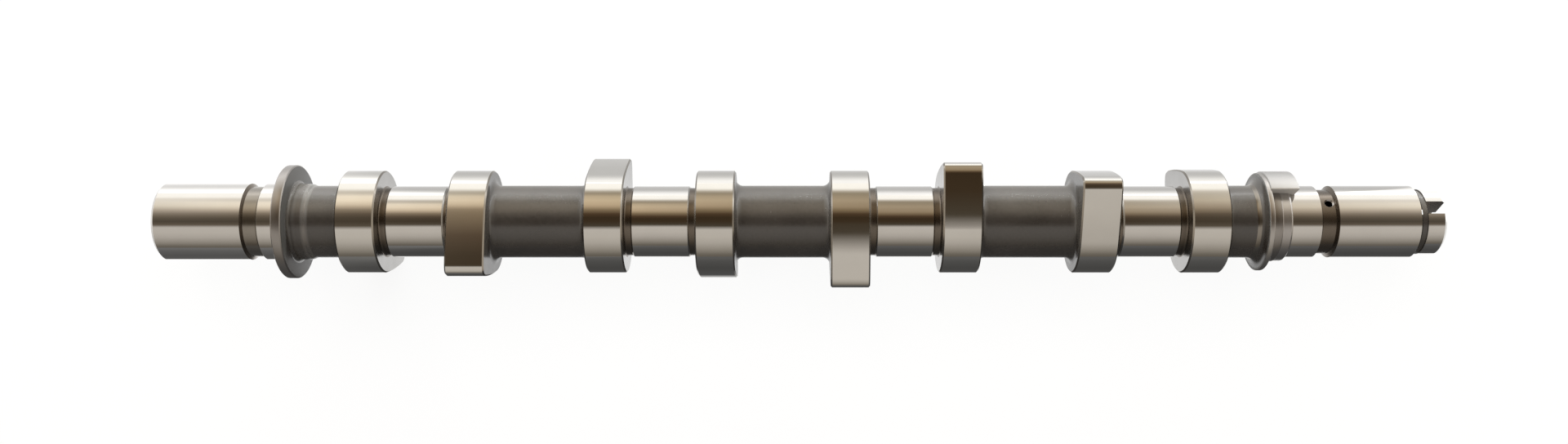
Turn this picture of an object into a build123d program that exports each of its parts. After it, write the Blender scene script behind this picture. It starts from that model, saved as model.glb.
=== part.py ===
from build123d import *
from math import acos, atan2, cos, degrees, hypot, radians, sin, sqrt
import os

# One-piece camshaft of a four-cylinder engine, in millimetres. +X runs along the shaft from the
# pulley end to the dog end, and the origin is on the shaft's axis at the front face of the thrust
# flange. Angles about the axis are in degrees from +Y towards +Z, with the dowel notch and the
# lobes as they stand before the shaft is rolled to the turn at which it lies still on a table.

rest_roll = 5.3
cut_clearance = 1.0

# Front journal, which carries the pulley
front_journal_r = 13.5
front_journal_len = 30.8
front_groove_len = 6.0
front_groove_depth = 1.1
front_land_len = 7.0
groove_side = 0.8
front_chamfer = 1.0

# Pulley bolt hole in the front end
bolt_hole_r = 5.1
bolt_hole_len = 32.0
bolt_mouth_r = 6.2
bolt_mouth_len = 4.5
bolt_mouth_flare = 1.2
drill_point = 118.0
dowel_notch_w = 1.7
dowel_notch_depth = 1.5
dowel_notch_len = 3.0
dowel_notch_angle = 16.0

# Thrust flange and the cast neck behind it
flange_r = 20.0
flange_thick = 3.5
flange_chamfer = 0.4
neck_r = 15.4
neck_len = 2.2
neck_fillet = 3.2

# Cylinders: one journal with a lobe on each side
cylinders = 4
first_cylinder = 47.0
cylinder_pitch = 85.0
journal_r = 12.5
journal_len = 20.2
journal_chamfer = 0.5
relief_r = 11.9
relief_len = 2.3
lobe_len = 13.5
lobe_chamfer = 0.5
barrel_r = 12.7
cast_slope = 1.6

# Cam: a base circle, then a flank, a shoulder and the nose, all tangent arcs
base_r = 18.0
flank_r = 110.0
shoulder_r = 6.2
nose_r = 2.2
nose_half_angle = 21.5
lift = 8.2

# Turn of the lobes about the axis
first_pair_angle = 185.4
lobe_separation = 106.6
cylinder_turns = (0.0, 90.0, -90.0, 180.0)

# Sensor disc and the hub with its tooth
tail_len = 13.05
tail_slope = 2.6
disc_r = 17.2
disc_thick = 1.7
hub_root_r = 14.0
hub_root_len = 3.6
hub_r = 13.75
hub_len = 7.4
hub_chamfer = 0.7
tooth_r = 17.7
tooth_len = 9.5
tooth_span = 84.0
tooth_angle = 0.0
tooth_corner = 0.8

# Rear journal with its oil groove, and the dog end
rear_journal_r = 12.6
rear_land_len = 10.2
rear_groove_len = 6.1
rear_groove_depth = 1.4
rear_journal_len = 28.6
oil_hole_r = 1.25
oil_hole_flare = 0.5
oil_hole_angle = 55.3
oil_bore_r = 3.5
oil_bore_past_hole = 8.0
undercut_len = 2.3
undercut_r = 11.0
dog_r = 11.4
dog_len = 6.7
dog_chamfer = 1.0
slot_w = 4.7
slot_depth = 6.0
slot_angle = 64.0

# Places that follow from the sizes
front_end = -(front_land_len + front_groove_len + front_journal_len)
pair_half = journal_len / 2 + relief_len + lobe_len
last_cylinder = first_cylinder + (cylinders - 1) * cylinder_pitch
disc_x = last_cylinder + pair_half + tail_len
hub_start = disc_x + disc_thick
hub_end = hub_start + hub_len
rear_groove_x = hub_end + rear_land_len
rear_journal_end = rear_groove_x + rear_groove_len + rear_journal_len
dog_start = rear_journal_end + undercut_len
dog_end = dog_start + dog_len
core_r = min(journal_r, relief_r, undercut_r) / 2


def turned(*outline):
    """A solid turned about the shaft's axis from (x, radius) points."""
    return revolve(make_face(Polyline(*outline, close=True)), Axis.X)


def cylinder(start, end, r, start_chamfer=0.0, end_chamfer=0.0):
    """A turned length, with a chamfer on each end that has one."""
    outline = [(start, 0), (start, r - start_chamfer)]
    if start_chamfer:
        outline.append((start + start_chamfer, r))
    if end_chamfer:
        outline.append((end - end_chamfer, r))
    outline += [(end, r - end_chamfer), (end, 0)]
    return turned(*outline)


def fillet_ring(face_x, toward, r, size):
    """The hollow corner, of radius size, where a shaft of radius r leaves the face at face_x."""
    far_x = face_x + toward * size
    middle = size * (1 - sqrt(0.5))
    sides = [
        Line((face_x, 0), (face_x, r + size)),
        ThreePointArc((face_x, r + size), (face_x + toward * middle, r + middle), (far_x, r)),
        Line((far_x, r), (far_x, 0)),
        Line((far_x, 0), (face_x, 0)),
    ]
    return revolve(make_face(sides), Axis.X)


def slope_ring(face_x, toward, size):
    """The sloping cast corner, of a given size, where the core leaves the face at face_x."""
    far_x = face_x + toward * size
    return turned((face_x, 0), (face_x, barrel_r + size), (far_x, barrel_r), (far_x, 0))


def groove(start, length, r, depth):
    """A ring to cut away, with sloping sides."""
    bottom = r - depth
    clear = r + cut_clearance
    slope = groove_side / depth
    return turned(
        (start - slope * cut_clearance, clear),
        (start + groove_side, bottom),
        (start + length - groove_side, bottom),
        (start + length + slope * cut_clearance, clear),
    )


def at_angle(r, angle):
    """A point of the cross-section, at an angle in degrees from +Y towards +Z."""
    return (r * cos(radians(angle)), r * sin(radians(angle)))


def front_end_piece():
    groove_x = front_end + front_journal_len
    land_end = groove_x + front_groove_len + front_land_len
    journal = cylinder(front_end, land_end, front_journal_r, front_chamfer)
    return journal - groove(groove_x, front_groove_len, front_journal_r, front_groove_depth)


def bolt_hole():
    """The tapped hole at its drilled size, with a wider mouth, a flare and a drill point."""
    mouth_end = front_end + bolt_mouth_len
    hole_end = front_end + bolt_mouth_len + bolt_hole_len
    point = bolt_hole_r / sin(radians(drill_point / 2)) * cos(radians(drill_point / 2))
    return turned(
        (front_end, 0),
        (front_end, bolt_mouth_r + bolt_mouth_flare),
        (front_end + bolt_mouth_flare, bolt_mouth_r),
        (mouth_end, bolt_mouth_r),
        (mouth_end + bolt_mouth_r - bolt_hole_r, bolt_hole_r),
        (hole_end, bolt_hole_r),
        (hole_end + point, 0),
    )


def dowel_notch():
    """The small notch at the mouth of the bolt hole that sets the pulley's turn."""
    notch = Box(
        dowel_notch_len,
        bolt_mouth_r + bolt_mouth_flare + dowel_notch_depth,
        dowel_notch_w,
        align=(Align.MIN, Align.MIN, Align.CENTER),
    )
    return Rot(180 - dowel_notch_angle, 0, 0) * Pos(front_end, 0, 0) * notch


def thrust_flange():
    """The flange that locates the shaft endways, with the cast neck behind it."""
    neck_end = flange_thick + neck_len
    flange = cylinder(0, flange_thick, flange_r, flange_chamfer, flange_chamfer)
    neck = cylinder(flange_thick, neck_end, neck_r)
    return flange + neck + fillet_ring(neck_end, 1, barrel_r, min(neck_fillet, neck_r - barrel_r))


def barrels():
    """The cast core from the flange to the disc, with a sloping corner against each lobe."""
    core = cylinder(flange_thick, disc_x, barrel_r)
    for n in range(cylinders):
        middle = first_cylinder + n * cylinder_pitch
        core += slope_ring(middle - pair_half, -1, cast_slope)
        core += slope_ring(middle + pair_half, 1, cast_slope)
        core -= pair_gap(middle)
    return core


def pair_gap(middle):
    """What is cut from the core where a cylinder's journal and reliefs stand."""
    half = journal_len / 2 + relief_len
    start = middle - half
    end = middle + half
    return turned((start, core_r), (start, flange_r), (end, flange_r), (end, core_r))


def journal(middle):
    """A ground journal between its two reliefs."""
    half = journal_len / 2
    body = cylinder(middle - half, middle + half, journal_r, journal_chamfer, journal_chamfer)
    return body + cylinder(middle - half - relief_len, middle + half + relief_len, relief_r)


def stepped(centre, r, angle):
    """The point of the cross-section a distance r from centre, at an angle from +Y."""
    step = at_angle(r, angle)
    return (centre[0] + step[0], centre[1] + step[1])


def cam_face():
    """The cam's outline with its nose along +Y, the same on both sides of the nose."""
    nose_centre = (base_r + lift - nose_r, 0)
    shoulder_centre = stepped(nose_centre, nose_r - shoulder_r, nose_half_angle)

    # The flank's centre is flank_r - shoulder_r from the shoulder's and flank_r - base_r from the axis
    reach = hypot(shoulder_centre[0], shoulder_centre[1])
    bearing = degrees(atan2(shoulder_centre[1], shoulder_centre[0]))
    to_shoulder = flank_r - shoulder_r
    to_axis = flank_r - base_r
    opening = acos((reach**2 + to_shoulder**2 - to_axis**2) / (2 * reach * to_shoulder))
    shoulder_end = bearing + degrees(opening)
    flank_centre = stepped(shoulder_centre, -to_shoulder, shoulder_end)
    flank_end = degrees(atan2(-flank_centre[1], -flank_centre[0]))

    flank_middle = (shoulder_end + flank_end) / 2
    shoulder_middle = (nose_half_angle + shoulder_end) / 2
    upper = [
        at_angle(base_r, flank_end),
        stepped(flank_centre, flank_r, flank_middle),
        stepped(flank_centre, flank_r, shoulder_end),
        stepped(shoulder_centre, shoulder_r, shoulder_middle),
        stepped(nose_centre, nose_r, nose_half_angle),
    ]
    lower = [(y, -z) for y, z in reversed(upper)]
    return make_face(
        [
            ThreePointArc(upper[0], upper[1], upper[2]),
            ThreePointArc(upper[2], upper[3], upper[4]),
            ThreePointArc(upper[4], (base_r + lift, 0), lower[0]),
            ThreePointArc(lower[0], lower[1], lower[2]),
            ThreePointArc(lower[2], lower[3], lower[4]),
            ThreePointArc(lower[4], (-base_r, 0), upper[0]),
        ]
    )


def lobe(start, nose_angle):
    """A cam lobe with ground edges, its nose turned to nose_angle."""
    blank = extrude(Plane.YZ * cam_face(), lobe_len)
    ends = blank.faces().sort_by(Axis.X)
    blank = chamfer(ends[0].edges() + ends[-1].edges(), lobe_chamfer)
    return Pos(start, 0, 0) * Rot(nose_angle, 0, 0) * blank


def lobe_pair(middle, turn):
    """The two lobes of a cylinder, one on each side of its journal."""
    angle = first_pair_angle + turn
    outer = journal_len / 2 + relief_len
    first = lobe(middle - outer - lobe_len, angle + lobe_separation / 2)
    return first + lobe(middle + outer, angle - lobe_separation / 2)


def sensor_disc():
    """The thin disc and the sloping corner in front of it."""
    return cylinder(disc_x, hub_start, disc_r) + slope_ring(disc_x, -1, tail_slope)


def sensor_hub():
    """The hub behind the disc, in two steps."""
    root = cylinder(hub_start, hub_start + hub_root_len, hub_root_r)
    return root + cylinder(hub_start, hub_end, hub_r, 0, hub_chamfer)


def sensor_tooth():
    """The raised tooth on the hub, a sector with broken corners."""
    half = tooth_span / 2
    arms = [at_angle(tooth_r, a) for a in (-half, 0, half)]
    outline = [Line((0, 0), arms[0]), ThreePointArc(*arms), Line(arms[2], (0, 0))]
    tooth = extrude(Plane.YZ * make_face(outline), tooth_len)
    outer = tooth.edges().filter_by(Axis.X).sort_by(SortBy.DISTANCE)[-2:]
    tooth = chamfer(outer, tooth_corner)
    return Pos(hub_start, 0, 0) * Rot(tooth_angle, 0, 0) * tooth


def rear_journal():
    """The last journal, from the hub to the undercut, with its oil groove."""
    body = cylinder(hub_end, rear_journal_end, rear_journal_r, 0, journal_chamfer)
    return body - groove(rear_groove_x, rear_groove_len, rear_journal_r, rear_groove_depth)


def dog():
    """The undercut and the dog end, before its slot is cut."""
    undercut = cylinder(rear_journal_end, dog_start, undercut_r)
    return undercut + cylinder(dog_start, dog_end, dog_r, 0, dog_chamfer)


def dog_slot():
    across = 2 * (dog_r + cut_clearance)
    slot = Box(slot_depth, across, slot_w, align=(Align.MAX, Align.CENTER, Align.CENTER))
    return Pos(dog_end, 0, 0) * Rot(slot_angle, 0, 0) * slot


def oil_way():
    """The oil bore along the axis and the hole that feeds it from the rear groove."""
    hole_x = rear_groove_x + rear_groove_len / 2
    floor_r = rear_journal_r - rear_groove_depth
    bore = cylinder(hole_x - oil_bore_past_hole, dog_end, oil_bore_r)
    upright = (Align.CENTER, Align.CENTER, Align.MIN)
    flare_len = 2 * oil_hole_flare
    hole = Cylinder(oil_hole_r, rear_journal_r, align=upright)
    flare = Cone(oil_hole_r, oil_hole_r + flare_len, flare_len, align=upright)
    hole += Pos(0, 0, floor_r - oil_hole_flare) * flare
    return bore + Pos(hole_x, 0, 0) * Rot(oil_hole_angle - 90, 0, 0) * hole


def camshaft():
    shaft = front_end_piece() + thrust_flange() + barrels()
    for n in range(cylinders):
        middle = first_cylinder + n * cylinder_pitch
        shaft += journal(middle)
        shaft += lobe_pair(middle, cylinder_turns[n])
    shaft += sensor_disc() + sensor_hub() + sensor_tooth() + rear_journal() + dog()
    return shaft - bolt_hole() - dowel_notch() - oil_way() - dog_slot()


part = Rot(rest_roll, 0, 0) * camshaft()
os.makedirs("parts", exist_ok=True)
export_step(part, "parts/camshaft.step")
print("volume", round(part.volume), "solids", len(part.solids()), "length", round(dog_end - front_end, 2))
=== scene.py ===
from math import acos, atan2, cos, degrees, pi, radians, sin, sqrt

import bpy
from mathutils import Matrix, Vector


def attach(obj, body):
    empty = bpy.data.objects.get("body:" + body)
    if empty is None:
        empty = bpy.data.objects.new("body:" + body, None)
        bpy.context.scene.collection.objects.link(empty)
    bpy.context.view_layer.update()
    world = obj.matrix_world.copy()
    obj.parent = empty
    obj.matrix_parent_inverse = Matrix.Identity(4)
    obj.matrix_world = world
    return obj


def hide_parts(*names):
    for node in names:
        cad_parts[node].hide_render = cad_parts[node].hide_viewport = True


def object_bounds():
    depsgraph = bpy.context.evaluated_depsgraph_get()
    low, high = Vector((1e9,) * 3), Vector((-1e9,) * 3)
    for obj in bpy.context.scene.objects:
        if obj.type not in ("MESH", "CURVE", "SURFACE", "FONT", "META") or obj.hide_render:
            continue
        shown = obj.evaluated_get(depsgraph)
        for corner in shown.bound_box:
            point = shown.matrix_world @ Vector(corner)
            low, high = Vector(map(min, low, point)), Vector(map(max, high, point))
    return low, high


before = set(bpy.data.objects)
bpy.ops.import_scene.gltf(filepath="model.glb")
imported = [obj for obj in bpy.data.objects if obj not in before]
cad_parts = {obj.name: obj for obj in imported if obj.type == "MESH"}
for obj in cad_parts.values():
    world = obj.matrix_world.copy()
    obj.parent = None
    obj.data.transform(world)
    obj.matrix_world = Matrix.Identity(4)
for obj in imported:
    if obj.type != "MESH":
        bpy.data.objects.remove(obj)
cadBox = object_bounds()

mm = 0.001
restRoll = 5.3          # turn about the shaft at which it lies still
roundSteps = 192        # sides of a turned surface

# where the cylinders stand along the shaft
cylinders = {
    "first": 47.0,
    "pitch": 85.0,
    "count": 4,
    "halfPair": 25.9,       # middle of the journal to the far face of a lobe
}


def deselectAll():
    bpy.ops.object.select_all(action="DESELECT")


def editMode():
    bpy.ops.object.mode_set(mode="EDIT")


def objectMode():
    bpy.ops.object.mode_set(mode="OBJECT")


def arcPoints(centreX, centreR, radius, fromAngle, toAngle, steps=8):
    # points of a rounded corner in the (x, r) profile, angles from +X towards +R
    angles = [radians(fromAngle + (toAngle - fromAngle) * n / steps) for n in range(steps + 1)]
    return [(centreX + radius * cos(a), centreR + radius * sin(a)) for a in angles]


def turnedPiece(name, profile, sides=roundSteps):
    # profile is a list of (x, r) in millimetres; the first and last rings are closed flat
    deselectAll()
    x, r = profile[0]
    bpy.ops.mesh.primitive_circle_add(vertices=sides, radius=r * mm, fill_type="NGON",
                                      location=(x * mm, 0, 0), rotation=(0, -pi / 2, 0))
    piece = bpy.context.object
    piece.name = piece.data.name = name
    editMode()
    bpy.ops.mesh.select_all(action="SELECT")
    for nextX, nextR in profile[1:]:
        bpy.ops.mesh.extrude_region_move(TRANSFORM_OT_translate={"value": ((nextX - x) * mm, 0, 0)})
        bpy.ops.transform.resize(value=(1, nextR / r, nextR / r), center_override=(nextX * mm, 0, 0))
        x, r = nextX, nextR
    objectMode()
    return piece


def roundEdges(piece, width, sharperThan=28, segments=2):
    soft = piece.modifiers.new("soft", "BEVEL")
    soft.width = width * mm
    soft.segments = segments
    soft.limit_method = "ANGLE"
    soft.angle_limit = radians(sharperThan)
    soft.use_clamp_overlap = True
    bpy.context.view_layer.objects.active = piece
    bpy.ops.object.modifier_apply(modifier=soft.name)


def cutAway(piece, cutter):
    cut = piece.modifiers.new("cut", "BOOLEAN")
    cut.operation = "DIFFERENCE"
    cut.solver = "EXACT"
    cut.object = cutter
    bpy.context.view_layer.objects.active = piece
    bpy.ops.object.modifier_apply(modifier=cut.name)
    bpy.data.objects.remove(cutter)


def turnTo(piece, angle):
    # turn about the shaft, from +Y towards +Z, and settle the turn into the mesh
    deselectAll()
    piece.select_set(True)
    bpy.context.view_layer.objects.active = piece
    piece.rotation_euler = (radians(angle), 0, 0)
    bpy.ops.object.transform_apply(location=False, rotation=True, scale=False)


def settle(piece):
    deselectAll()
    piece.select_set(True)
    bpy.context.view_layer.objects.active = piece
    bpy.ops.object.transform_apply(location=True, rotation=True, scale=True)


def coat(piece, material, smoothUnder=32):
    # outward normals, smooth rounds with crisp corners, one finish all over
    settle(piece)
    editMode()
    bpy.ops.mesh.select_all(action="SELECT")
    bpy.ops.mesh.remove_doubles(threshold=0.002 * mm)
    bpy.ops.mesh.normals_make_consistent(inside=False)
    objectMode()
    bpy.ops.object.shade_smooth_by_angle(angle=radians(smoothUnder))
    piece.data.materials.clear()
    piece.data.materials.append(material)


def coatFaces(piece, material, wanted):
    # a second finish on the faces for which wanted(centre, normal) holds, in millimetres
    piece.data.materials.append(material)
    slot = len(piece.data.materials) - 1
    for face in piece.data.polygons:
        if wanted(face.center / mm, face.normal):
            face.material_index = slot


def outFromAxis(point):
    return sqrt(point.y ** 2 + point.z ** 2)


def place(piece):
    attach(piece, "root")
    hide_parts("camshaft")
    return piece


def newGroup(name, inputs, outputs):
    # every input is a plain number that starts at 1
    group = bpy.data.node_groups.new(name, "ShaderNodeTree")
    for label in inputs:
        socket = group.interface.new_socket(name=label, in_out="INPUT",
                                            socket_type="NodeSocketFloat")
        socket.default_value = 1.0
    for label, kind in outputs:
        group.interface.new_socket(name=label, in_out="OUTPUT", socket_type=kind)
    return group, group.nodes, group.links


def addNode(nodes, kind, **values):
    node = nodes.new(kind)
    for key, value in values.items():
        setattr(node, key, value)
    return node


def mathNode(nodes, links, operation, first, second=None, third=None):
    node = addNode(nodes, "ShaderNodeMath", operation=operation)
    for n, value in enumerate((first, second, third)):
        if value is None:
            continue
        if isinstance(value, (int, float)):
            node.inputs[n].default_value = value
        else:
            links.new(value, node.inputs[n])
    return node.outputs[0]


def rangeNode(nodes, links, value, fromMin, fromMax, toMin=0.0, toMax=1.0, smooth=False):
    node = addNode(nodes, "ShaderNodeMapRange",
                   interpolation_type="SMOOTHSTEP" if smooth else "LINEAR")
    node.inputs["From Min"].default_value = fromMin
    node.inputs["From Max"].default_value = fromMax
    node.inputs["To Min"].default_value = toMin
    node.inputs["To Max"].default_value = toMax
    links.new(value, node.inputs["Value"])
    return node.outputs["Result"]


def rampNode(nodes, stops, lowest, highest, brightest=1.0):
    # a colour ramp whose stops are given as (value, colour) on the scale from lowest to highest
    ramp = addNode(nodes, "ShaderNodeValToRGB")
    points = ramp.color_ramp.elements
    while len(points) > 1:
        points.remove(points[-1])
    for n, (value, colour) in enumerate(stops):
        if isinstance(colour, (int, float)):
            colour = (colour, colour, colour)
        position = (value - lowest) / (highest - lowest)
        spot = points[0] if n == 0 else points.new(position)
        spot.position = position
        spot.color = (*[part / brightest for part in colour], 1)
    return ramp


def blendColours(nodes, links, factor, first, second):
    # first and second are colours, or the outputs of nodes
    node = addNode(nodes, "ShaderNodeMix", data_type="RGBA")
    links.new(factor, node.inputs["Factor"])
    for label, value in (("A", first), ("B", second)):
        if isinstance(value, tuple):
            node.inputs[label].default_value = (*value, 1)
        else:
            links.new(value, node.inputs[label])
    return node.outputs["Result"]


def noiseNode(nodes, links, vector, scale, detail, roughness=0.5):
    node = addNode(nodes, "ShaderNodeTexNoise")
    node.inputs["Scale"].default_value = scale
    node.inputs["Detail"].default_value = detail
    node.inputs["Roughness"].default_value = roughness
    links.new(vector, node.inputs["Vector"])
    return node.outputs["Fac"]


markAxes = ("Along", "Out", "Around")
toolNoise = {"lineDetail": 3.0, "lineRoughness": 0.6, "patchScale": 140.0, "patchDetail": 4.0,
             "low": 0.3, "high": 0.7, "leastRadius": 0.0001}


def makeShaftCoordinates():
    # where a point lies along, around and out from the shaft's axis, with no seam
    group, nodes, links = newGroup("shaftCoordinates", markAxes, [("Vector", "NodeSocketVector")])
    given = addNode(nodes, "NodeGroupInput")
    result = addNode(nodes, "NodeGroupOutput")
    where = addNode(nodes, "ShaderNodeTexCoord")
    split = addNode(nodes, "ShaderNodeSeparateXYZ")
    links.new(where.outputs["Object"], split.inputs[0])
    x, y, z = split.outputs
    square = mathNode(nodes, links, "ADD", mathNode(nodes, links, "MULTIPLY", y, y),
                      mathNode(nodes, links, "MULTIPLY", z, z))
    radius = mathNode(nodes, links, "MAXIMUM", mathNode(nodes, links, "SQRT", square),
                      toolNoise["leastRadius"])
    line = mathNode(nodes, links, "ADD",
                    mathNode(nodes, links, "MULTIPLY", x, given.outputs["Along"]),
                    mathNode(nodes, links, "MULTIPLY", radius, given.outputs["Out"]))
    join = addNode(nodes, "ShaderNodeCombineXYZ")
    links.new(line, join.inputs[0])
    for n, part in ((1, y), (2, z)):
        turn = mathNode(nodes, links, "DIVIDE", part, radius)
        links.new(mathNode(nodes, links, "MULTIPLY", turn, given.outputs["Around"]), join.inputs[n])
    links.new(join.outputs[0], result.inputs["Vector"])
    return group


def makeToolMarks(coordinates):
    # fine lines left by a wheel or a turning tool, and how strong they are from place to place
    group, nodes, links = newGroup("toolMarks", markAxes, [("Lines", "NodeSocketFloat"),
                                                           ("Patches", "NodeSocketFloat")])
    given = addNode(nodes, "NodeGroupInput")
    result = addNode(nodes, "NodeGroupOutput")
    onShaft = addNode(nodes, "ShaderNodeGroup", node_tree=coordinates)
    for label in markAxes:
        links.new(given.outputs[label], onShaft.inputs[label])
    where = addNode(nodes, "ShaderNodeTexCoord")
    lines = noiseNode(nodes, links, onShaft.outputs["Vector"], 1.0, toolNoise["lineDetail"],
                      toolNoise["lineRoughness"])
    patches = noiseNode(nodes, links, where.outputs["Object"], toolNoise["patchScale"],
                        toolNoise["patchDetail"])
    links.new(lines, result.inputs["Lines"])
    links.new(patches, result.inputs["Patches"])
    return group


toolMarks = makeToolMarks(makeShaftCoordinates())


def newFinish(name):
    material = bpy.data.materials.new(name)
    material.use_nodes = True
    tree = material.node_tree
    return material, tree.nodes, tree.links, tree.nodes["Principled BSDF"]


def roughen(nodes, links, shader, roughness, height, depth):
    # the finish's roughness, and a relief of the given depth in millimetres
    links.new(roughness, shader.inputs["Roughness"])
    relief = addNode(nodes, "ShaderNodeBump")
    relief.inputs["Strength"].default_value = 1.0
    relief.inputs["Distance"].default_value = depth * mm
    links.new(height, relief.inputs["Height"])
    links.new(relief.outputs["Normal"], shader.inputs["Normal"])


def steelFinish(name, look):
    # machined steel: colour and roughness drift a little between two values, over fine tool lines
    material, nodes, links, shader = newFinish(name)
    shader.inputs["Metallic"].default_value = 1.0
    marks = addNode(nodes, "ShaderNodeGroup", node_tree=toolMarks)
    for label in markAxes:
        marks.inputs[label].default_value = look[label]
    lines, patches = marks.outputs["Lines"], marks.outputs["Patches"]
    tone = blendColours(nodes, links, patches, look["colour"], look["shade"])
    links.new(tone, shader.inputs["Base Color"])
    mixed = mathNode(nodes, links, "ADD", mathNode(nodes, links, "MULTIPLY", lines, 0.5),
                     mathNode(nodes, links, "MULTIPLY", patches, 0.5))
    rough = rangeNode(nodes, links, mixed, toolNoise["low"], toolNoise["high"],
                      look["smooth"], look["rough"])
    roughen(nodes, links, shader, rough, lines, look["bump"])
    return material


skinNoise = {"grain": 900.0, "grainDetail": 5.0, "grainShare": 0.35, "cloud": 60.0,
             "cloudDetail": 3.0, "low": 0.35, "high": 0.65}


def castFinish(name, skin):
    # the casting's own dark skin, left as it came from the mould
    s = skinNoise
    material, nodes, links, shader = newFinish(name)
    shader.inputs["IOR"].default_value = skin["ior"]
    where = addNode(nodes, "ShaderNodeTexCoord").outputs["Object"]
    grain = noiseNode(nodes, links, where, s["grain"], s["grainDetail"])
    cloud = noiseNode(nodes, links, where, s["cloud"], s["cloudDetail"])
    both = mathNode(nodes, links, "ADD",
                    mathNode(nodes, links, "MULTIPLY", grain, s["grainShare"]),
                    mathNode(nodes, links, "MULTIPLY", cloud, 1 - s["grainShare"]))
    spread = rangeNode(nodes, links, both, s["low"], s["high"])
    tone = blendColours(nodes, links, spread, skin["dark"], skin["light"])
    if "polished" in skin:
        # soft rings along the shaft where the skin is rubbed to metal
        split = addNode(nodes, "ShaderNodeSeparateXYZ")
        links.new(where, split.inputs[0])
        rings = rampNode(nodes, skin["polished"], 0, skin["polishedTo"])
        rings.color_ramp.interpolation = "EASE"
        along = mathNode(nodes, links, "DIVIDE", split.outputs[0], skin["polishedTo"] * mm)
        links.new(along, rings.inputs["Fac"])
        links.new(rings.outputs["Color"], shader.inputs["Metallic"])
        tone = blendColours(nodes, links, rings.outputs["Color"], tone, skin["metal"])
    links.new(tone, shader.inputs["Base Color"])
    rough = rangeNode(nodes, links, spread, 0, 1, skin["smooth"], skin["rough"])
    roughen(nodes, links, shader, rough, grain, skin["bump"])
    return material


groundSteel = steelFinish("groundJournal", {
    "colour": (0.76, 0.74, 0.71), "shade": (0.71, 0.69, 0.66), "smooth": 0.05, "rough": 0.10,
    "Along": 9000.0, "Out": 0.0, "Around": 3.0, "bump": 0.0008})
camSteel = steelFinish("groundCam", {
    "colour": (0.76, 0.74, 0.70), "shade": (0.71, 0.69, 0.65), "smooth": 0.045, "rough": 0.085,
    "Along": 7000.0, "Out": 0.0, "Around": 3.0, "bump": 0.0006})
sideSteel = steelFinish("groundSide", {
    "colour": (0.49, 0.48, 0.465), "shade": (0.41, 0.40, 0.385), "smooth": 0.16, "rough": 0.24,
    "Along": 2500.0, "Out": 4500.0, "Around": 2.0, "bump": 0.0015})
grooveSteel = steelFinish("turnedGroove", {
    "colour": (0.36, 0.33, 0.29), "shade": (0.30, 0.275, 0.24), "smooth": 0.14, "rough": 0.24,
    "Along": 5000.0, "Out": 3000.0, "Around": 2.0, "bump": 0.0012})
turnedSteel = steelFinish("turnedSide", {
    "colour": (0.62, 0.595, 0.57), "shade": (0.53, 0.51, 0.485), "smooth": 0.28, "rough": 0.38,
    "Along": 2500.0, "Out": 4500.0, "Around": 2.0, "bump": 0.002})
reliefSteel = steelFinish("turnedRelief", {
    "colour": (0.235, 0.20, 0.165), "shade": (0.17, 0.145, 0.12), "smooth": 0.20, "rough": 0.32,
    "Along": 5000.0, "Out": 3000.0, "Around": 2.0, "bump": 0.0015})
hubMarks = {"Along": 3500.0, "Out": 3500.0, "Around": 4.0, "bump": 0.003}
dullSteel = steelFinish("dullHub", {
    "colour": (0.62, 0.60, 0.585), "shade": (0.52, 0.50, 0.49), "smooth": 0.27, "rough": 0.36,
    **hubMarks})
rootSteel = steelFinish("turnedRoot", {
    "colour": (0.43, 0.405, 0.385), "shade": (0.36, 0.34, 0.32), "smooth": 0.27, "rough": 0.36,
    **hubMarks})
toothSteel = steelFinish("sensorTooth", {
    "colour": (0.72, 0.715, 0.705), "shade": (0.66, 0.655, 0.645), "smooth": 0.46, "rough": 0.54,
    **hubMarks})

coreSkin = {"dark": (0.036, 0.031, 0.027), "light": (0.050, 0.043, 0.037), "smooth": 0.20,
            "rough": 0.28, "ior": 1.85, "bump": 0.006}
castIron = castFinish("castIron", coreSkin)
castNeck = castFinish("castNeck", {
    **coreSkin, "metal": (0.27, 0.255, 0.24), "polishedTo": 20.0,
    "polished": [(4.4, 0.0), (5.4, 0.12), (6.6, 0.0), (7.6, 0.0), (9.1, 0.75), (10.6, 0.0)]})
castFace = castFinish("castFace", {
    "dark": (0.050, 0.047, 0.044), "light": (0.066, 0.062, 0.058), "smooth": 0.36, "rough": 0.46,
    "ior": 1.45, "bump": 0.006})
discFace = castFinish("discFace", {
    "dark": (0.105, 0.10, 0.095), "light": (0.13, 0.125, 0.12), "smooth": 0.36, "rough": 0.46,
    "ior": 1.45, "bump": 0.006})
# painted light: the tooth's near end face, which lies in shade, gets a pale diffuse grey to lift it
toothEndPaintedLight = castFinish("toothEndPaintedLight", {
    "dark": (0.58, 0.57, 0.55), "light": (0.64, 0.63, 0.61), "smooth": 0.45, "rough": 0.55,
    "ior": 1.45, "bump": 0.004})
print("stage: finishes ready")


# how squarely a face's normal points along an axis when faces are picked by their normals
squarely, mostly, partly, hardly = 0.99, 0.9, 0.6, 0.2
slack = 0.1             # millimetres allowed when faces are picked by their place

frontEnd = {
    "face": -43.8, "radius": 13.5, "chamfer": 1.0, "end": 0.6, "edge": 0.12, "faceDeep": 0.6,
    "grooveStart": -13.0, "grooveEnd": -7.0, "grooveR": 12.4, "grooveSide": 0.8, "insideR": 10.0,
    "mouthR": 6.2, "mouthLen": 4.5, "mouthFlare": 1.2, "mouthStep": 0.3, "boreR": 6.0,
    "boreLen": 32.0, "tipLen": 3.4, "tipR": 0.1,
    "notchW": 1.7, "notchTop": 8.9, "notchLen": 3.0, "notchAngle": 164.0, "over": 1.0,
}


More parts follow.
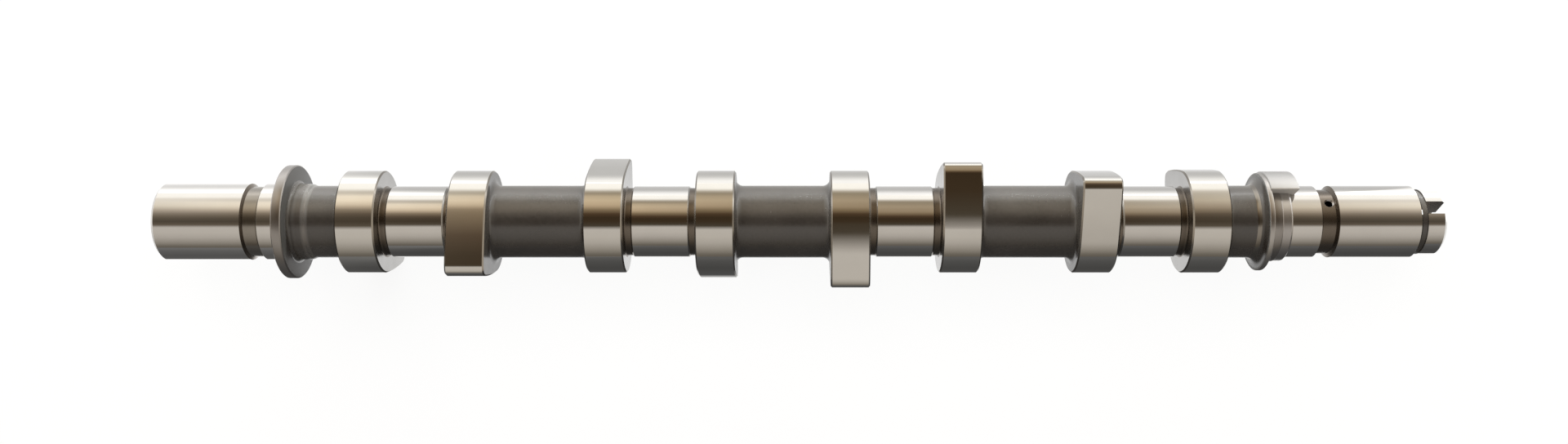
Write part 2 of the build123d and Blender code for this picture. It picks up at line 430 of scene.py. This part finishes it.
def makeFrontEnd():
    f = frontEnd
    mouthEnd = f["face"] + f["mouthLen"]
    holeEnd = mouthEnd + f["boreLen"]
    profile = [
        (holeEnd + f["tipLen"], f["tipR"]), (holeEnd, f["boreR"]),
        (mouthEnd + f["mouthStep"], f["boreR"]), (mouthEnd, f["mouthR"]),
        (f["face"] + f["mouthFlare"], f["mouthR"]), (f["face"], f["mouthR"] + f["mouthFlare"]),
        (f["face"], f["radius"] - f["chamfer"]), (f["face"] + f["chamfer"], f["radius"]),
        (f["grooveStart"], f["radius"]), (f["grooveStart"] + f["grooveSide"], f["grooveR"]),
        (f["grooveEnd"] - f["grooveSide"], f["grooveR"]), (f["grooveEnd"], f["radius"]),
        (f["end"], f["radius"]),
    ]
    piece = turnedPiece("frontJournal", profile)
    coat(piece, groundSteel)
    # the dowel notch beside the bolt hole
    deselectAll()
    notchX = f["face"] + (f["notchLen"] - f["over"]) / 2
    bpy.ops.mesh.primitive_cube_add(
        size=1, location=(notchX * mm, f["notchTop"] / 2 * mm, 0),
        scale=((f["notchLen"] + f["over"]) * mm, f["notchTop"] * mm, f["notchW"] * mm))
    cutter = bpy.context.object
    settle(cutter)
    turnTo(cutter, f["notchAngle"] + restRoll)
    cutAway(piece, cutter)
    roundEdges(piece, f["edge"])
    coat(piece, groundSteel)
    grooveWallX = f["grooveStart"] + f["grooveSide"] / 2
    coatFaces(piece, turnedSteel, lambda c, n: c.x < f["face"] + f["faceDeep"] and n.x < -partly)
    coatFaces(piece, grooveSteel, lambda c, n: (
        f["grooveStart"] + slack < c.x < f["grooveEnd"] - slack and outFromAxis(c) > f["insideR"]))
    coatFaces(piece, reliefSteel, lambda c, n: (
        outFromAxis(c) < f["mouthR"] + slack
        or abs(c.x - grooveWallX) < 3 * slack and outFromAxis(c) > f["insideR"]))
    return place(piece)


boltThread = {"crestR": 5.1, "rootR": 6.08, "pitch": 1.25, "root": 1.1, "crest": 0.2,
              "start": -38.7, "turns": 24, "steps": 48}


def makeThread():
    # a coil standing on the wall of the bolt hole
    t = boltThread
    middleR = (t["crestR"] + t["rootR"]) / 2
    deselectAll()
    bpy.ops.mesh.primitive_plane_add(size=mm, location=(t["start"] * mm, 0, middleR * mm),
                                     rotation=(pi / 2, 0, 0))
    piece = bpy.context.object
    piece.name = piece.data.name = "boltThread"
    settle(piece)
    editMode()
    bpy.ops.mesh.select_mode(type="VERT")
    bpy.ops.mesh.select_all(action="SELECT")
    bpy.ops.transform.resize(value=(t["root"], 1, t["rootR"] - t["crestR"]),
                             center_override=(t["start"] * mm, 0, middleR * mm))
    bpy.ops.mesh.select_all(action="DESELECT")
    objectMode()
    for corner in piece.data.vertices:
        corner.select = corner.co.z < middleR * mm
    editMode()
    bpy.ops.transform.resize(value=(t["crest"] / t["root"], 1, 1),
                             center_override=(t["start"] * mm, 0, 0))
    bpy.ops.mesh.select_all(action="SELECT")
    bpy.ops.mesh.delete(type="ONLY_FACE")
    objectMode()
    coil = piece.modifiers.new("coil", "SCREW")
    coil.axis = "X"
    coil.angle = 2 * pi
    coil.screw_offset = t["pitch"] * mm
    coil.iterations = t["turns"]
    coil.steps = coil.render_steps = t["steps"]
    bpy.context.view_layer.objects.active = piece
    bpy.ops.object.modifier_apply(modifier=coil.name)
    editMode()
    bpy.ops.mesh.select_all(action="SELECT")
    bpy.ops.mesh.fill_holes(sides=4)
    objectMode()
    coat(piece, reliefSteel)
    return place(piece)


makeFrontEnd()
makeThread()
print("stage: front end")


flange = {"thick": 3.5, "radius": 20.0, "chamfer": 0.4, "innerR": 12.0, "edge": 0.1}


def makeFlange():
    g = flange
    rim = g["radius"] - g["chamfer"]
    piece = turnedPiece("thrustFlange", [
        (0, g["innerR"]), (0, rim), (g["chamfer"], g["radius"]),
        (g["thick"] - g["chamfer"], g["radius"]), (g["thick"], rim), (g["thick"], g["innerR"])])
    roundEdges(piece, g["edge"])
    coat(piece, rootSteel)
    coatFaces(piece, castFace, lambda c, n: n.x > mostly)
    return place(piece)


makeFlange()

barrel = {
    "radius": 12.7, "corner": 2.6, "sink": 1.0,
    "neckR": 13.4, "neckEnd": 7.3, "neckCorner": 1.2,
    "hollowX": 10.6, "hollowArc": 3.2, "hollowFrom": 238,
    "discX": 340.95, "discCorner": 3.6, "ringFrom": 338.1, "ringTo": 339.5,
}


def barrelEnd(endX, corner):
    # the profile's rounded rise at its right end, and a little of it sunk into what follows
    b = barrel
    top = b["radius"] + corner
    return arcPoints(endX - corner, top, corner, 270, 360)[:-1] + [(endX, top),
                                                                  (endX + b["sink"], top)]


def makeBarrel(name, startX, endX, endCorner):
    b = barrel
    top = b["radius"] + b["corner"]
    profile = [(startX - b["sink"], top), (startX, top)]
    profile += arcPoints(startX + b["corner"], top, b["corner"], 180, 270)[1:]
    piece = turnedPiece(name, profile + barrelEnd(endX, endCorner))
    coat(piece, castIron)
    if endX == b["discX"]:
        coatFaces(piece, grooveSteel, lambda c, n: b["ringFrom"] < c.x < b["ringTo"])
    return place(piece)


def makeNeck():
    b = barrel
    foot = b["neckR"] + b["neckCorner"]
    profile = [(flange["thick"] - b["sink"], foot), (flange["thick"], foot)]
    profile += arcPoints(flange["thick"] + b["neckCorner"], foot, b["neckCorner"], 180, 270)[1:]
    profile += [(b["neckEnd"], b["neckR"])]
    profile += arcPoints(b["hollowX"], b["radius"] + b["hollowArc"], b["hollowArc"],
                         b["hollowFrom"], 270)
    firstLobe = cylinders["first"] - cylinders["halfPair"]
    piece = turnedPiece("castNeck", profile + barrelEnd(firstLobe, b["corner"]))
    coat(piece, castNeck)
    return place(piece)


makeNeck()
for n in range(cylinders["count"]):
    startX = cylinders["first"] + n * cylinders["pitch"] + cylinders["halfPair"]
    if n < cylinders["count"] - 1:
        endX = startX + cylinders["pitch"] - 2 * cylinders["halfPair"]
        makeBarrel(f"castBarrel{n + 1}", startX, endX, barrel["corner"])
    else:
        makeBarrel("castTail", startX, barrel["discX"], barrel["discCorner"])
print("stage: flange and cast core")


journal = {"radius": 12.5, "half": 10.1, "chamfer": 0.5, "relief": 2.3, "reliefR": 11.9,
           "corner": 0.7, "cornerSteps": 6, "sink": 1.0}


def makeJournal(n):
    j = journal
    middle = cylinders["first"] + n * cylinders["pitch"]
    lobeSide = j["half"] + j["relief"]
    cornerR = j["reliefR"] + j["corner"]
    side = [(j["half"] - j["chamfer"], j["radius"]), (j["half"], j["radius"] - j["chamfer"]),
            (j["half"], j["reliefR"])]
    side += arcPoints(lobeSide - j["corner"], cornerR, j["corner"], 270, 360, j["cornerSteps"])
    side += [(lobeSide + j["sink"], cornerR)]
    right = [(middle + x, r) for x, r in side]
    left = [(middle - x, r) for x, r in reversed(side)]
    piece = turnedPiece(f"journal{n + 2}", left + right)
    coat(piece, groundSteel)
    coatFaces(piece, reliefSteel, lambda c, normal: abs(c.x - middle) > j["half"] - slack / 2)
    return place(piece)


for n in range(cylinders["count"]):
    makeJournal(n)
print("stage: journals")


cam = {
    "baseR": 18.0, "flankR": 110.0, "shoulderR": 6.2, "noseR": 2.2, "noseHalf": 21.5, "lift": 8.2,
    "width": 13.5, "edge": 0.5, "sharp": 60,
    "baseSteps": 120, "flankSteps": 20, "shoulderSteps": 14, "noseSteps": 18,
    "firstPair": 185.4, "apart": 106.6, "cylinderTurns": (0.0, 90.0, -90.0, 180.0),
}


def makeLobe(name, startX, noseAngle, castSide):
    # the outline is a chain of arcs that meet on tangents: base, flank, shoulder, nose and back;
    # it is drawn with the nose on +Y, and castSide is the side (-1 or 1) that faces the cast core
    c = cam
    noseY = c["baseR"] + c["lift"] - c["noseR"]
    step = c["noseR"] - c["shoulderR"]
    shoulderY = noseY + step * cos(radians(c["noseHalf"]))
    shoulderZ = step * sin(radians(c["noseHalf"]))
    toShoulder, toAxis = c["flankR"] - c["shoulderR"], c["flankR"] - c["baseR"]
    reach = sqrt(shoulderY ** 2 + shoulderZ ** 2)
    opening = acos((reach ** 2 + toShoulder ** 2 - toAxis ** 2) / (2 * reach * toShoulder))
    shoulderEnd = degrees(atan2(shoulderZ, shoulderY) + opening)
    flankY = shoulderY - toShoulder * cos(radians(shoulderEnd))
    flankZ = shoulderZ - toShoulder * sin(radians(shoulderEnd))
    flankEnd = degrees(atan2(-flankZ, -flankY))
    deselectAll()
    bpy.ops.mesh.primitive_plane_add(
        size=mm, location=(startX * mm, c["baseR"] * cos(radians(flankEnd)) * mm,
                           c["baseR"] * sin(radians(flankEnd)) * mm))
    piece = bpy.context.object
    piece.name = piece.data.name = name
    editMode()
    bpy.ops.mesh.select_all(action="SELECT")
    bpy.ops.mesh.merge(type="CENTER")
    shoulderTurn, flankTurn = shoulderEnd - c["noseHalf"], flankEnd - shoulderEnd
    for turn, steps, y, z in ((360 - 2 * flankEnd, c["baseSteps"], 0, 0),
                              (flankTurn, c["flankSteps"], flankY, -flankZ),
                              (shoulderTurn, c["shoulderSteps"], shoulderY, -shoulderZ),
                              (2 * c["noseHalf"], c["noseSteps"], noseY, 0),
                              (shoulderTurn, c["shoulderSteps"], shoulderY, shoulderZ),
                              (flankTurn, c["flankSteps"], flankY, flankZ)):
        bpy.ops.mesh.spin(steps=steps, angle=-radians(turn),
                          center=(startX * mm, y * mm, z * mm), axis=(1, 0, 0))
    bpy.ops.mesh.select_all(action="SELECT")
    bpy.ops.mesh.remove_doubles(threshold=0.01 * mm)
    bpy.ops.mesh.edge_face_add()
    bpy.ops.mesh.extrude_region_move(TRANSFORM_OT_translate={"value": (c["width"] * mm, 0, 0)})
    bpy.ops.mesh.select_all(action="SELECT")
    bpy.ops.mesh.normals_make_consistent(inside=False)
    objectMode()
    roundEdges(piece, c["edge"], sharperThan=c["sharp"], segments=1)
    settle(piece)
    turnTo(piece, noseAngle + restRoll)
    coat(piece, camSteel)
    coatFaces(piece, sideSteel, lambda centre, normal: normal.x * castSide < -squarely)
    coatFaces(piece, castIron, lambda centre, normal: normal.x * castSide > squarely)
    coatFaces(piece, grooveSteel, lambda centre, normal: hardly < abs(normal.x) < mostly)
    return place(piece)


for n in range(cylinders["count"]):
    middle = cylinders["first"] + n * cylinders["pitch"]
    pairAngle = cam["firstPair"] + cam["cylinderTurns"][n]
    leftX = middle - cylinders["halfPair"]
    rightX = middle + cylinders["halfPair"] - cam["width"]
    makeLobe(f"lobe{2 * n + 1}", leftX, pairAngle + cam["apart"] / 2, -1)
    makeLobe(f"lobe{2 * n + 2}", rightX, pairAngle - cam["apart"] / 2, 1)
print("stage: lobes")


sensor = {
    "discX": 340.95, "discR": 17.2, "discThick": 1.7, "discIn": 11.0, "discEdge": 0.3,
    "rootR": 14.0, "rootEnd": 346.25, "rootStep": 0.25, "hubR": 13.75, "hubEnd": 350.05,
    "hubChamfer": 0.7, "hubIn": 10.0, "hubSink": 0.5, "hubEdge": 0.1,
    "toothR": 17.7, "toothLen": 9.5, "toothNear": 51.0, "toothFar": 42.0, "toothSink": 0.3,
    "toothIn": 0.45, "toothInY": 6.4, "toothEdge": 0.8, "toothSteps": 36, "toothSharp": 60,
    "toothSmooth": 40,
}


def makeDisc():
    s = sensor
    end = s["discX"] + s["discThick"]
    piece = turnedPiece("sensorDisc", [(s["discX"], s["discIn"]), (s["discX"], s["discR"]),
                                       (end, s["discR"]), (end, s["discIn"])])
    roundEdges(piece, s["discEdge"], segments=3)
    coat(piece, turnedSteel)
    coatFaces(piece, discFace, lambda c, n: n.x < -mostly)
    return place(piece)


def makeHub():
    s = sensor
    start = s["discX"] + s["discThick"] - s["hubSink"]
    piece = turnedPiece("sensorHub", [
        (start, s["rootR"]), (s["rootEnd"], s["rootR"]), (s["rootEnd"] + s["rootStep"], s["hubR"]),
        (s["hubEnd"] - s["hubChamfer"], s["hubR"]), (s["hubEnd"], s["hubR"] - s["hubChamfer"]),
        (s["hubEnd"], s["hubIn"])])
    roundEdges(piece, s["hubEdge"])
    coat(piece, dullSteel)
    coatFaces(piece, rootSteel, lambda c, n: c.x < s["rootEnd"] + 2 * slack)
    return place(piece)


def makeTooth():
    # an arc about the shaft and a narrower one inside it, so that both ends of the tooth lean under
    s = sensor
    start = s["discX"] + s["discThick"] - s["toothSink"]
    far, near = radians(s["toothFar"]), radians(s["toothNear"])
    deselectAll()
    bpy.ops.mesh.primitive_plane_add(
        size=mm, location=(start * mm, s["toothR"] * cos(far) * mm, -s["toothR"] * sin(far) * mm))
    piece = bpy.context.object
    piece.name = piece.data.name = "sensorTooth"
    editMode()
    bpy.ops.mesh.select_all(action="SELECT")
    bpy.ops.mesh.merge(type="CENTER")
    bpy.ops.mesh.spin(steps=s["toothSteps"], angle=-(far + near), center=(start * mm, 0, 0),
                      axis=(1, 0, 0))
    bpy.ops.mesh.select_all(action="SELECT")
    bpy.ops.mesh.extrude_edges_move(TRANSFORM_OT_translate={"value": (0, 0, 0)})
    bpy.ops.transform.resize(value=(1, s["toothIn"], s["toothIn"]),
                             center_override=(start * mm, s["toothInY"] * mm, 0))
    bpy.ops.mesh.select_all(action="SELECT")
    length = s["toothLen"] + s["toothSink"]
    bpy.ops.mesh.extrude_region_move(TRANSFORM_OT_translate={"value": (length * mm, 0, 0)})
    bpy.ops.mesh.select_all(action="SELECT")
    bpy.ops.mesh.remove_doubles(threshold=0.001 * mm)
    bpy.ops.mesh.normals_make_consistent(inside=False)
    objectMode()
    roundEdges(piece, s["toothEdge"], sharperThan=s["toothSharp"], segments=4)
    settle(piece)
    turnTo(piece, restRoll)
    coat(piece, toothSteel, smoothUnder=s["toothSmooth"])
    # painted light on the tooth's near end face
    coatFaces(piece, toothEndPaintedLight, lambda c, n: n.y < -partly and c.z > 0)
    return place(piece)


makeDisc()
makeHub()
makeTooth()
print("stage: sensor disc, hub and tooth")


rearEnd = {
    "start": 350.05, "sink": 0.5, "radius": 12.6, "edge": 0.1,
    "grooveStart": 360.25, "grooveEnd": 366.35, "grooveR": 11.2, "grooveSide": 0.8,
    "journalEnd": 394.95, "journalChamfer": 0.5, "undercutR": 11.0, "undercutEnd": 397.25,
    "dogR": 11.4, "dogEnd": 403.95, "dogChamfer": 1.0,
    "boreR": 3.5, "boreStart": 355.3, "tipLen": 2.0, "tipR": 0.1,
    "holeX": 363.7, "holeR": 1.25, "flare": 0.5, "holeAngle": 55.3, "holeSides": 48,
    "slotW": 4.7, "slotDepth": 6.75, "slotAngle": 64.0, "over": 1.0,
}


def makeRearEnd():
    r = rearEnd
    profile = [
        (r["start"] - r["sink"], r["radius"]), (r["grooveStart"], r["radius"]),
        (r["grooveStart"] + r["grooveSide"], r["grooveR"]),
        (r["grooveEnd"] - r["grooveSide"], r["grooveR"]), (r["grooveEnd"], r["radius"]),
        (r["journalEnd"] - r["journalChamfer"], r["radius"]),
        (r["journalEnd"], r["radius"] - r["journalChamfer"]), (r["journalEnd"], r["undercutR"]),
        (r["undercutEnd"], r["undercutR"]), (r["undercutEnd"], r["dogR"]),
        (r["dogEnd"] - r["dogChamfer"], r["dogR"]), (r["dogEnd"], r["dogR"] - r["dogChamfer"]),
        (r["dogEnd"], r["boreR"]), (r["boreStart"], r["boreR"]),
        (r["boreStart"] - r["tipLen"], r["tipR"]),
    ]
    piece = turnedPiece("rearJournal", profile)
    coat(piece, groundSteel)
    # the oil hole, drilled from the groove to the bore, with a flared mouth
    deselectAll()
    bpy.ops.mesh.primitive_cylinder_add(
        vertices=r["holeSides"], radius=r["holeR"] * mm, depth=r["radius"] * mm,
        location=(r["holeX"] * mm, 0, r["radius"] / 2 * mm))
    drill = bpy.context.object
    settle(drill)
    turnTo(drill, r["holeAngle"] - 90 + restRoll)
    cutAway(piece, drill)
    deselectAll()
    bpy.ops.mesh.primitive_cone_add(
        vertices=r["holeSides"], radius1=r["holeR"] * mm,
        radius2=(r["holeR"] + 2 * r["flare"]) * mm, depth=2 * r["flare"] * mm,
        location=(r["holeX"] * mm, 0, r["grooveR"] * mm))
    flare = bpy.context.object
    settle(flare)
    turnTo(flare, r["holeAngle"] - 90 + restRoll)
    cutAway(piece, flare)
    # the slot for the pump's tongue
    deselectAll()
    slotX = r["dogEnd"] + (r["over"] - r["slotDepth"]) / 2
    bpy.ops.mesh.primitive_cube_add(
        size=1, location=(slotX * mm, 0, 0),
        scale=((r["slotDepth"] + r["over"]) * mm, 2 * (r["dogR"] + r["over"]) * mm,
               r["slotW"] * mm))
    slot = bpy.context.object
    settle(slot)
    turnTo(slot, r["slotAngle"] + restRoll)
    cutAway(piece, slot)
    roundEdges(piece, r["edge"])
    coat(piece, groundSteel)
    coatFaces(piece, reliefSteel, lambda c, n: (
        r["grooveStart"] + slack < c.x < r["grooveEnd"] - slack
        or outFromAxis(c) < r["boreR"] + slack))
    coatFaces(piece, castIron, lambda c, n: (
        r["journalEnd"] - slack / 2 < c.x < r["undercutEnd"] + slack / 2))
    coatFaces(piece, turnedSteel, lambda c, n: c.x > r["dogEnd"] - slack / 5 and n.x > mostly)
    coatMouth(piece)
    coatSlot(piece)
    return place(piece)


def coatMouth(piece):
    # the flared mouth of the oil hole
    r = rearEnd
    angle = radians(r["holeAngle"] + restRoll)
    out = Vector((0, cos(angle), sin(angle)))
    holeLine = Vector((r["holeX"], 0, 0))
    coatFaces(piece, turnedSteel, lambda c, n: (
        c.dot(out) > r["grooveR"] - 2 * r["flare"]
        and r["holeR"] < (c - holeLine - out * c.dot(out)).length < r["holeR"] + r["flare"]
        and partly / 2 < n.dot(out) < mostly))


def coatSlot(piece):
    # the two walls and the floor of the slot
    r = rearEnd
    angle = radians(r["slotAngle"] + restRoll)
    across = Vector((0, -sin(angle), cos(angle)))
    slotFloor = r["dogEnd"] - r["slotDepth"]
    coatFaces(piece, reliefSteel, lambda c, n: (
        c.x > slotFloor - 3 * slack
        and (abs(n.dot(across)) > squarely and abs(c.dot(across)) < r["slotW"] / 2 + 2 * slack
             or n.x > mostly and c.x < slotFloor + slack)))


makeRearEnd()
print("stage: rear end")


studio = {"floorHalf": 3.0, "middleX": 0.18, "paper": 0.9, "ownWhite": 1.03, "whiteShare": 0.86}
# painted shade in the paper as the steel sees it, by its distance across the shaft in metres: dark
# over the near side, a dip beside the shaft on the far side, brighter further out
paperPaintedShade = [(-0.30, 0.13), (-0.13, 0.102), (-0.073, 0.088), (-0.048, 0.076), (-0.0215, 0.078),
               (-0.0190, 0.95), (0.012, 1.0), (0.030, 0.72), (0.045, 0.66), (0.060, 0.68),
               (0.080, 0.80), (0.115, 1.02), (0.170, 1.2), (0.250, 1.3)]
# painted light: the paper is brighter in the steel under the front end and past the rear end: where,
# and how many times
paperPaintedEndLight = {"frontFrom": 0.035, "frontTo": -0.015, "frontTimes": 1.42,
             "rearFrom": 0.406, "rearTo": 0.418, "rearAcross": 0.012}
brightest = 1.4         # full scale of the ramps below


def makeFloor():
    deselectAll()
    bpy.ops.mesh.primitive_plane_add(size=2 * studio["floorHalf"],
                                     location=(studio["middleX"], 0, cadBox[0][2]))
    floor = bpy.context.object
    floor.name = floor.data.name = "floor"
    settle(floor)
    material, nodes, links, shader = newFinish("paleFloor")
    shader.inputs["Base Color"].default_value = (*[studio["paper"]] * 3, 1)
    shader.inputs["Roughness"].default_value = 0.9
    shader.inputs["Specular IOR Level"].default_value = 0.0
    # what a camera sees of the paper is mostly its own white, with some of the shadow kept
    ownWhite = addNode(nodes, "ShaderNodeEmission")
    ownWhite.inputs["Strength"].default_value = studio["ownWhite"]
    ray = addNode(nodes, "ShaderNodeLightPath")
    seen = addNode(nodes, "ShaderNodeMixShader")
    links.new(mathNode(nodes, links, "MULTIPLY", ray.outputs["Is Camera Ray"],
                       studio["whiteShare"]), seen.inputs[0])
    links.new(shader.outputs[0], seen.inputs[1])
    links.new(ownWhite.outputs[0], seen.inputs[2])
    # what the steel sees of it: a painted reflection of the paper, with painted shade across the
    # shaft and painted light at the ends
    where = addNode(nodes, "ShaderNodeTexCoord")
    split = addNode(nodes, "ShaderNodeSeparateXYZ")
    links.new(where.outputs["Object"], split.inputs[0])
    x, y = split.outputs[:2]
    low, high = paperPaintedShade[0][0], paperPaintedShade[-1][0]
    # painted shade across the shaft, seen only in the steel
    across = rampNode(nodes, paperPaintedShade, low, high, brightest)
    links.new(rangeNode(nodes, links, y, low, high), across.inputs[0])
    e = paperPaintedEndLight
    # painted light in the steel's view of the paper, under the front end and past the rear end
    paintedFrontLight = rangeNode(nodes, links, x, e["frontFrom"], e["frontTo"], 1.0, e["frontTimes"],
                        smooth=True)
    pastRear = rangeNode(nodes, links, x, e["rearFrom"], e["rearTo"], smooth=True)
    behind = rangeNode(nodes, links, y, 0.0, e["rearAcross"])
    paintedRearLight = mathNode(nodes, links, "MULTIPLY_ADD", pastRear, behind, 1.0)
    paintedEndLight = mathNode(nodes, links, "MULTIPLY", paintedFrontLight, paintedRearLight)
    mirrored = addNode(nodes, "ShaderNodeEmission")
    links.new(across.outputs["Color"], mirrored.inputs["Color"])
    links.new(mathNode(nodes, links, "MULTIPLY", paintedEndLight, brightest), mirrored.inputs["Strength"])
    gloss = addNode(nodes, "ShaderNodeMixShader")
    links.new(mathNode(nodes, links, "MAXIMUM", ray.outputs["Is Glossy Ray"],
                       ray.outputs["Is Transmission Ray"]), gloss.inputs[0])
    links.new(seen.outputs[0], gloss.inputs[1])
    links.new(mirrored.outputs[0], gloss.inputs[2])
    links.new(gloss.outputs[0], nodes["Material Output"].inputs["Surface"])
    floor.data.materials.append(material)
    return floor


# soft bands of light around the shaft, which polished steel shows as long stripes;
# each is an angle from straight above towards the far side, and a colour
nearSide = [(-180, (0.06, 0.055, 0.05)), (-100, (0.07, 0.06, 0.05)), (-88, (0.135, 0.12, 0.10)),
            (-79, (0.185, 0.166, 0.14)), (-64, (0.36, 0.33, 0.29)), (-48, (0.52, 0.485, 0.44)),
            (-34, (0.60, 0.56, 0.51)), (-18, (0.62, 0.58, 0.535))]
overMiddle = [(-10, (0.075, 0.06, 0.042)), (0, (0.055, 0.036, 0.020)), (9, (0.050, 0.032, 0.017)),
              (17, (0.09, 0.055, 0.030)), (25, (0.25, 0.18, 0.105)), (34, (0.45, 0.345, 0.225)),
              (48, (0.55, 0.44, 0.30)), (56, (0.50, 0.405, 0.28)), (66, (0.38, 0.32, 0.23)),
              (71, (0.56, 0.50, 0.41))]
overEnds = [(-10, (0.15, 0.12, 0.09)), (0, (0.095, 0.078, 0.058)), (9, (0.13, 0.107, 0.08)),
            (17, (0.20, 0.165, 0.125)), (25, (0.32, 0.27, 0.215)), (34, (0.52, 0.45, 0.365)),
            (48, (0.89, 0.81, 0.68)), (60, (0.98, 0.91, 0.79)), (72, (1.02, 0.96, 0.87))]
farSide = [(80, (1.30, 1.27, 1.20)), (104, (1.36, 1.34, 1.30)), (122, (0.95, 0.95, 0.93)),
           (180, (0.8, 0.8, 0.8))]
# the warm band, and how many times stronger it is along the shaft
goldBand = [(25, 0.0), (38, 1.0), (58, 1.0), (68, 0.0)]
goldAlong = [(-0.41, 1.0), (-0.30, 1.55), (-0.12, 1.35), (-0.07, 1.15), (0.07, 0.84), (0.25, 0.86),
             (0.41, 1.14)]
# how far a direction points along the shaft where the bands change, and the room past its ends
room = {"endsFrom": 0.16, "endsTo": 0.40, "pastFrom": 0.84, "pastTo": 0.96,
        "tone": (0.85, 0.78, 0.68), "strongest": 2.0}


def makeSurroundings():
    world = bpy.data.worlds.new("studio")
    bpy.context.scene.world = world
    world.use_nodes = True
    nodes, links = world.node_tree.nodes, world.node_tree.links
    nodes.clear()
    direction = addNode(nodes, "ShaderNodeTexCoord")
    split = addNode(nodes, "ShaderNodeSeparateXYZ")
    links.new(direction.outputs["Generated"], split.inputs[0])
    x, y, z = split.outputs
    alongShaft = mathNode(nodes, links, "ABSOLUTE", x)
    angle = mathNode(nodes, links, "ARCTAN2", y, z)          # from +Z towards +Y
    turned = mathNode(nodes, links, "ADD", angle, radians(restRoll))
    share = mathNode(nodes, links, "ADD", mathNode(nodes, links, "DIVIDE", turned, 2 * pi), 0.5)
    share = mathNode(nodes, links, "FRACT", share)
    middle = rampNode(nodes, nearSide + overMiddle + farSide, -180, 180, brightest)
    ends = rampNode(nodes, nearSide + overEnds + farSide, -180, 180, brightest)
    gold = rampNode(nodes, goldBand, -180, 180)
    for ramp in (middle, ends, gold):
        links.new(share, ramp.inputs[0])
    # towards the two ends of the shaft the dark band is lifted
    towardsEnds = rangeNode(nodes, links, alongShaft, room["endsFrom"], room["endsTo"])
    tone = blendColours(nodes, links, towardsEnds, middle.outputs["Color"], ends.outputs["Color"])
    # the warm band is stronger over the front half
    along = rampNode(nodes, goldAlong, -1, 1, room["strongest"])
    links.new(rangeNode(nodes, links, x, -1, 1), along.inputs[0])
    times = mathNode(nodes, links, "MULTIPLY", along.outputs["Color"], room["strongest"])
    extra = mathNode(nodes, links, "SUBTRACT", times, 1.0)
    boost = mathNode(nodes, links, "MULTIPLY_ADD", extra, gold.outputs["Color"], 1.0)
    banded = addNode(nodes, "ShaderNodeVectorMath", operation="SCALE")
    links.new(tone, banded.inputs[0])
    links.new(boost, banded.inputs["Scale"])
    # the room past the two ends of the shaft
    pastEnds = rangeNode(nodes, links, alongShaft, room["pastFrom"], room["pastTo"], smooth=True)
    endTone = tuple(part / brightest for part in room["tone"])
    around = addNode(nodes, "ShaderNodeBackground")
    around.inputs["Strength"].default_value = brightest
    links.new(blendColours(nodes, links, pastEnds, banded.outputs[0], endTone),
              around.inputs["Color"])
    white = addNode(nodes, "ShaderNodeBackground")
    white.inputs["Color"].default_value = (1, 1, 1, 1)
    ray = addNode(nodes, "ShaderNodeLightPath")
    mix = addNode(nodes, "ShaderNodeMixShader")
    links.new(ray.outputs["Is Camera Ray"], mix.inputs[0])
    links.new(around.outputs[0], mix.inputs[1])
    links.new(white.outputs[0], mix.inputs[2])
    output = addNode(nodes, "ShaderNodeOutputWorld")
    links.new(mix.outputs[0], output.inputs["Surface"])


softLamp = {"y": 0.5, "height": 1.4, "long": 1.6, "deep": 1.6, "watts": 12.0, "colour": (1, 1, 1)}
sideLamp = {"y": 1.2, "height": 0.05, "long": 1.6, "deep": 0.12, "watts": 68.0,
            "colour": (0.93, 1.0, 1.0)}


def makeLamp(name, lamp):
    # a soft lamp that lights the floor and the dull skin and isn't mirrored in the steel
    deselectAll()
    bpy.ops.object.light_add(type="AREA",
                             location=(studio["middleX"], lamp["y"], lamp["height"]))
    light = bpy.context.object
    light.name = light.data.name = name
    light.data.shape = "RECTANGLE"
    light.data.size = lamp["long"]
    light.data.size_y = lamp["deep"]
    light.data.energy = lamp["watts"]
    light.data.color = lamp["colour"]
    towards = Vector((studio["middleX"], 0, 0)) - light.location
    light.rotation_euler = towards.to_track_quat("-Z", "Y").to_euler()
    light.visible_glossy = False
    light.visible_camera = False
    return light


# the camera's place in millimetres before the part's roll, and its lens in pixels of the picture
view = {"x": 178.25, "y": -2.14, "height": 506.8, "yaw": -0.303, "focal": 1756.3,
        "width": 1920, "rows": 544, "centreX": 962.3, "centreY": 279.0, "sensor": 36.0,
        "nearest": 0.01}


def makeCamera():
    v = view
    data = bpy.data.cameras.new("camera")
    camera = bpy.data.objects.new("camera", data)
    bpy.context.scene.collection.objects.link(camera)
    roll = Matrix.Rotation(radians(restRoll), 4, "X")
    yaw = Matrix.Rotation(-radians(v["yaw"]), 4, "Y")
    spot = roll @ Vector((v["x"], v["y"], v["height"])) * mm
    camera.matrix_world = Matrix.Translation(spot) @ roll @ yaw
    data.sensor_width = v["sensor"]
    data.lens = v["focal"] / v["width"] * v["sensor"]
    data.shift_x = (v["width"] / 2 - v["centreX"]) / v["width"]
    data.shift_y = (v["centreY"] - v["rows"] / 2) / v["width"]
    data.clip_start = v["nearest"]
    bpy.context.scene.camera = camera


makeFloor()
makeSurroundings()
makeLamp("softLamp", softLamp)
makeLamp("sideLamp", sideLamp)
makeCamera()
bpy.context.scene.view_settings.view_transform = "Standard"
print("stage: studio ready")
